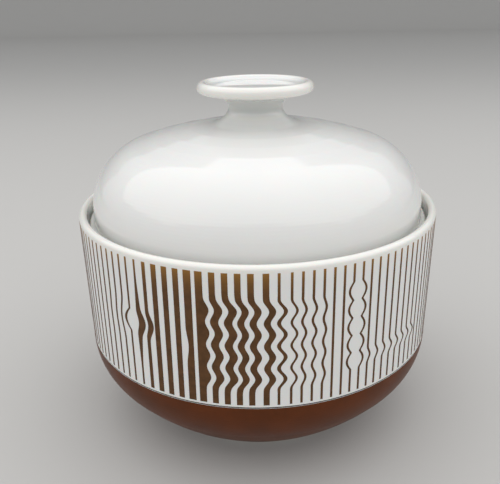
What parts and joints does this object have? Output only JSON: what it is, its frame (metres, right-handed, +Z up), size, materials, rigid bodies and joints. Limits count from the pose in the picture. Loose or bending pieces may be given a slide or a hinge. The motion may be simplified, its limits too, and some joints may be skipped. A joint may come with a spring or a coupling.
{
  "type": "lidded rice bowl",
  "caption": "Round porcelain rice bowl with a drop-in domed lid and mushroom knob; striped fired print round the wall, dark brown enamel on the belly.",
  "frame": {"origin": "centre of the foot ring's resting face, on the table", "axes": "+Z up along the axis of the bowl and lid, -Y is the front of the print"},
  "size_m": [0.1248, 0.1248, 0.1222],
  "materials": {
    "glazed_porcelain": "glossy clear glaze over white porcelain",
    "brown_enamel": "satin dark reddish brown enamel, fired on",
    "fired_gold_brown_print": "matt bronze brown print with a slight metallic sheen, fired on"
  },
  "bodies": {
    "bowl": {"bowl_body": "glazed_porcelain", "belly_enamel": "brown_enamel", "print_eye": "fired_gold_brown_print", "print_bars": "fired_gold_brown_print", "print_waved_bars": "fired_gold_brown_print", "print_waved_lines": "fired_gold_brown_print", "print_plain_lines": "fired_gold_brown_print", "print_bead_chain": "fired_gold_brown_print", "print_kinked_lines": "fired_gold_brown_print"},
    "lid": {"lid_dome": "glazed_porcelain", "lid_knob": "glazed_porcelain"}
  },
  "joints": [
    {"name": "lid_lift", "type": "slide", "parent": "bowl", "child": "lid", "axis": [0, 0, 1], "range_m": [0, 0.12]}
  ]
}
